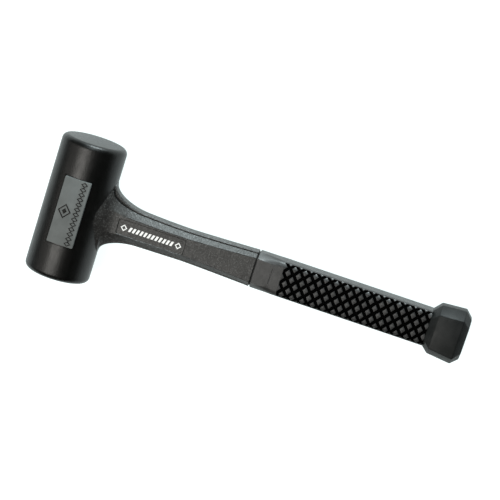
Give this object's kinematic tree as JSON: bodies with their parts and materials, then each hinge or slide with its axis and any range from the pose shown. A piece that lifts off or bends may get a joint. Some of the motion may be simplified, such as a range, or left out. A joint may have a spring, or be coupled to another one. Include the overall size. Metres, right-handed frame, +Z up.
{
  "type": "dead blow mallet",
  "caption": "Moulded dead blow mallet: cylindrical soft-faced head over a sealed shot canister, steel-cored handle with flared neck, studded grip and octagonal butt.",
  "frame": {"origin": "centre of the lower striking face", "axes": "+Y up the head's axis to the upper striking face, +X along the handle to the butt, +Z up when the mallet lies on its side"},
  "size_m": [0.331, 0.1064, 0.0508],
  "materials": {
    "casing": "satin black moulded polyurethane",
    "canister_steel": "drawn mild steel",
    "shot_steel": "hardened steel balls",
    "core_steel": "rolled steel",
    "zinc_plated": "bright zinc plate",
    "neck_moulding": "fine-grained black moulding",
    "grip_rubber": "studded black rubber",
    "butt_moulding": "smooth black moulding"
  },
  "bodies": {
    "mallet": {"head_casing": "casing", "canister_tube": "canister_steel", "canister_cap_lower": "canister_steel", "canister_cap_upper": "canister_steel", "core_saddle": "core_steel", "handle_core": "core_steel", "core_washer": "zinc_plated", "neck_sleeve": "neck_moulding", "grip_sleeve": "grip_rubber", "butt_cap": "butt_moulding"},
    "shot_charge": {"steel_shot": "shot_steel"}
  },
  "joints": [
    {"name": "shot_slide", "type": "slide", "parent": "mallet", "child": "shot_charge", "axis": [0, 1, 0], "range_m": [0, 0.0198]}
  ]
}
